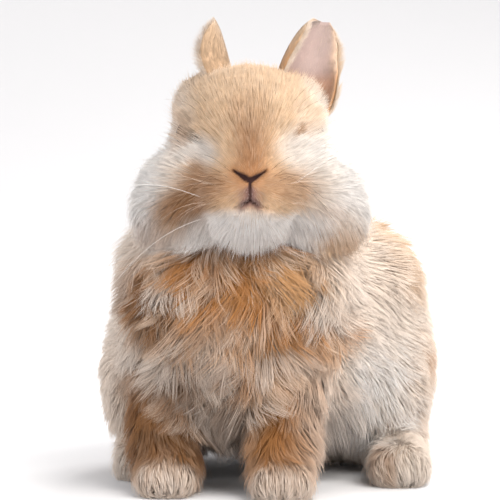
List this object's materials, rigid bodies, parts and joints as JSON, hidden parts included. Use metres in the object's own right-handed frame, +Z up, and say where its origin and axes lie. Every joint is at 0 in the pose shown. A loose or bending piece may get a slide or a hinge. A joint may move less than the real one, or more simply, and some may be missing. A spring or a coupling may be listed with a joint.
{
  "type": "young dwarf rabbit",
  "caption": "Young fawn dwarf rabbit sitting up with straight forelegs, short upright ears and a long tousled coat on chest and flanks.",
  "frame": {"origin": "middle of the standing box, on the floor", "axes": "-Y the way the face looks, +X the rabbit's left, +Z up"},
  "size_m": [0.1487, 0.1919, 0.2005],
  "materials": {
    "coat": "matt long fur, fawn orange with cream tips",
    "face_coat": "matt short fur, fawn",
    "pale_coat": "matt fur, cream",
    "leg_coat": "matt fur, orange brown",
    "ear_skin": "thin skin with short down, pink inside",
    "eye": "wet, dark brown"
  },
  "bodies": {
    "root": {"eye_left": "eye", "eye_right": "eye", "ear_left": "ear_skin", "ear_right": "ear_skin", "head": "face_coat", "neck": "coat", "torso": "coat", "tail": "pale_coat", "thigh_left": "coat", "thigh_right": "coat", "foreleg_left": "leg_coat", "foreleg_right": "leg_coat", "forepaw_left": "pale_coat", "forepaw_right": "pale_coat", "hind_foot_left": "pale_coat", "hind_foot_right": "pale_coat"}
  },
  "joints": []
}
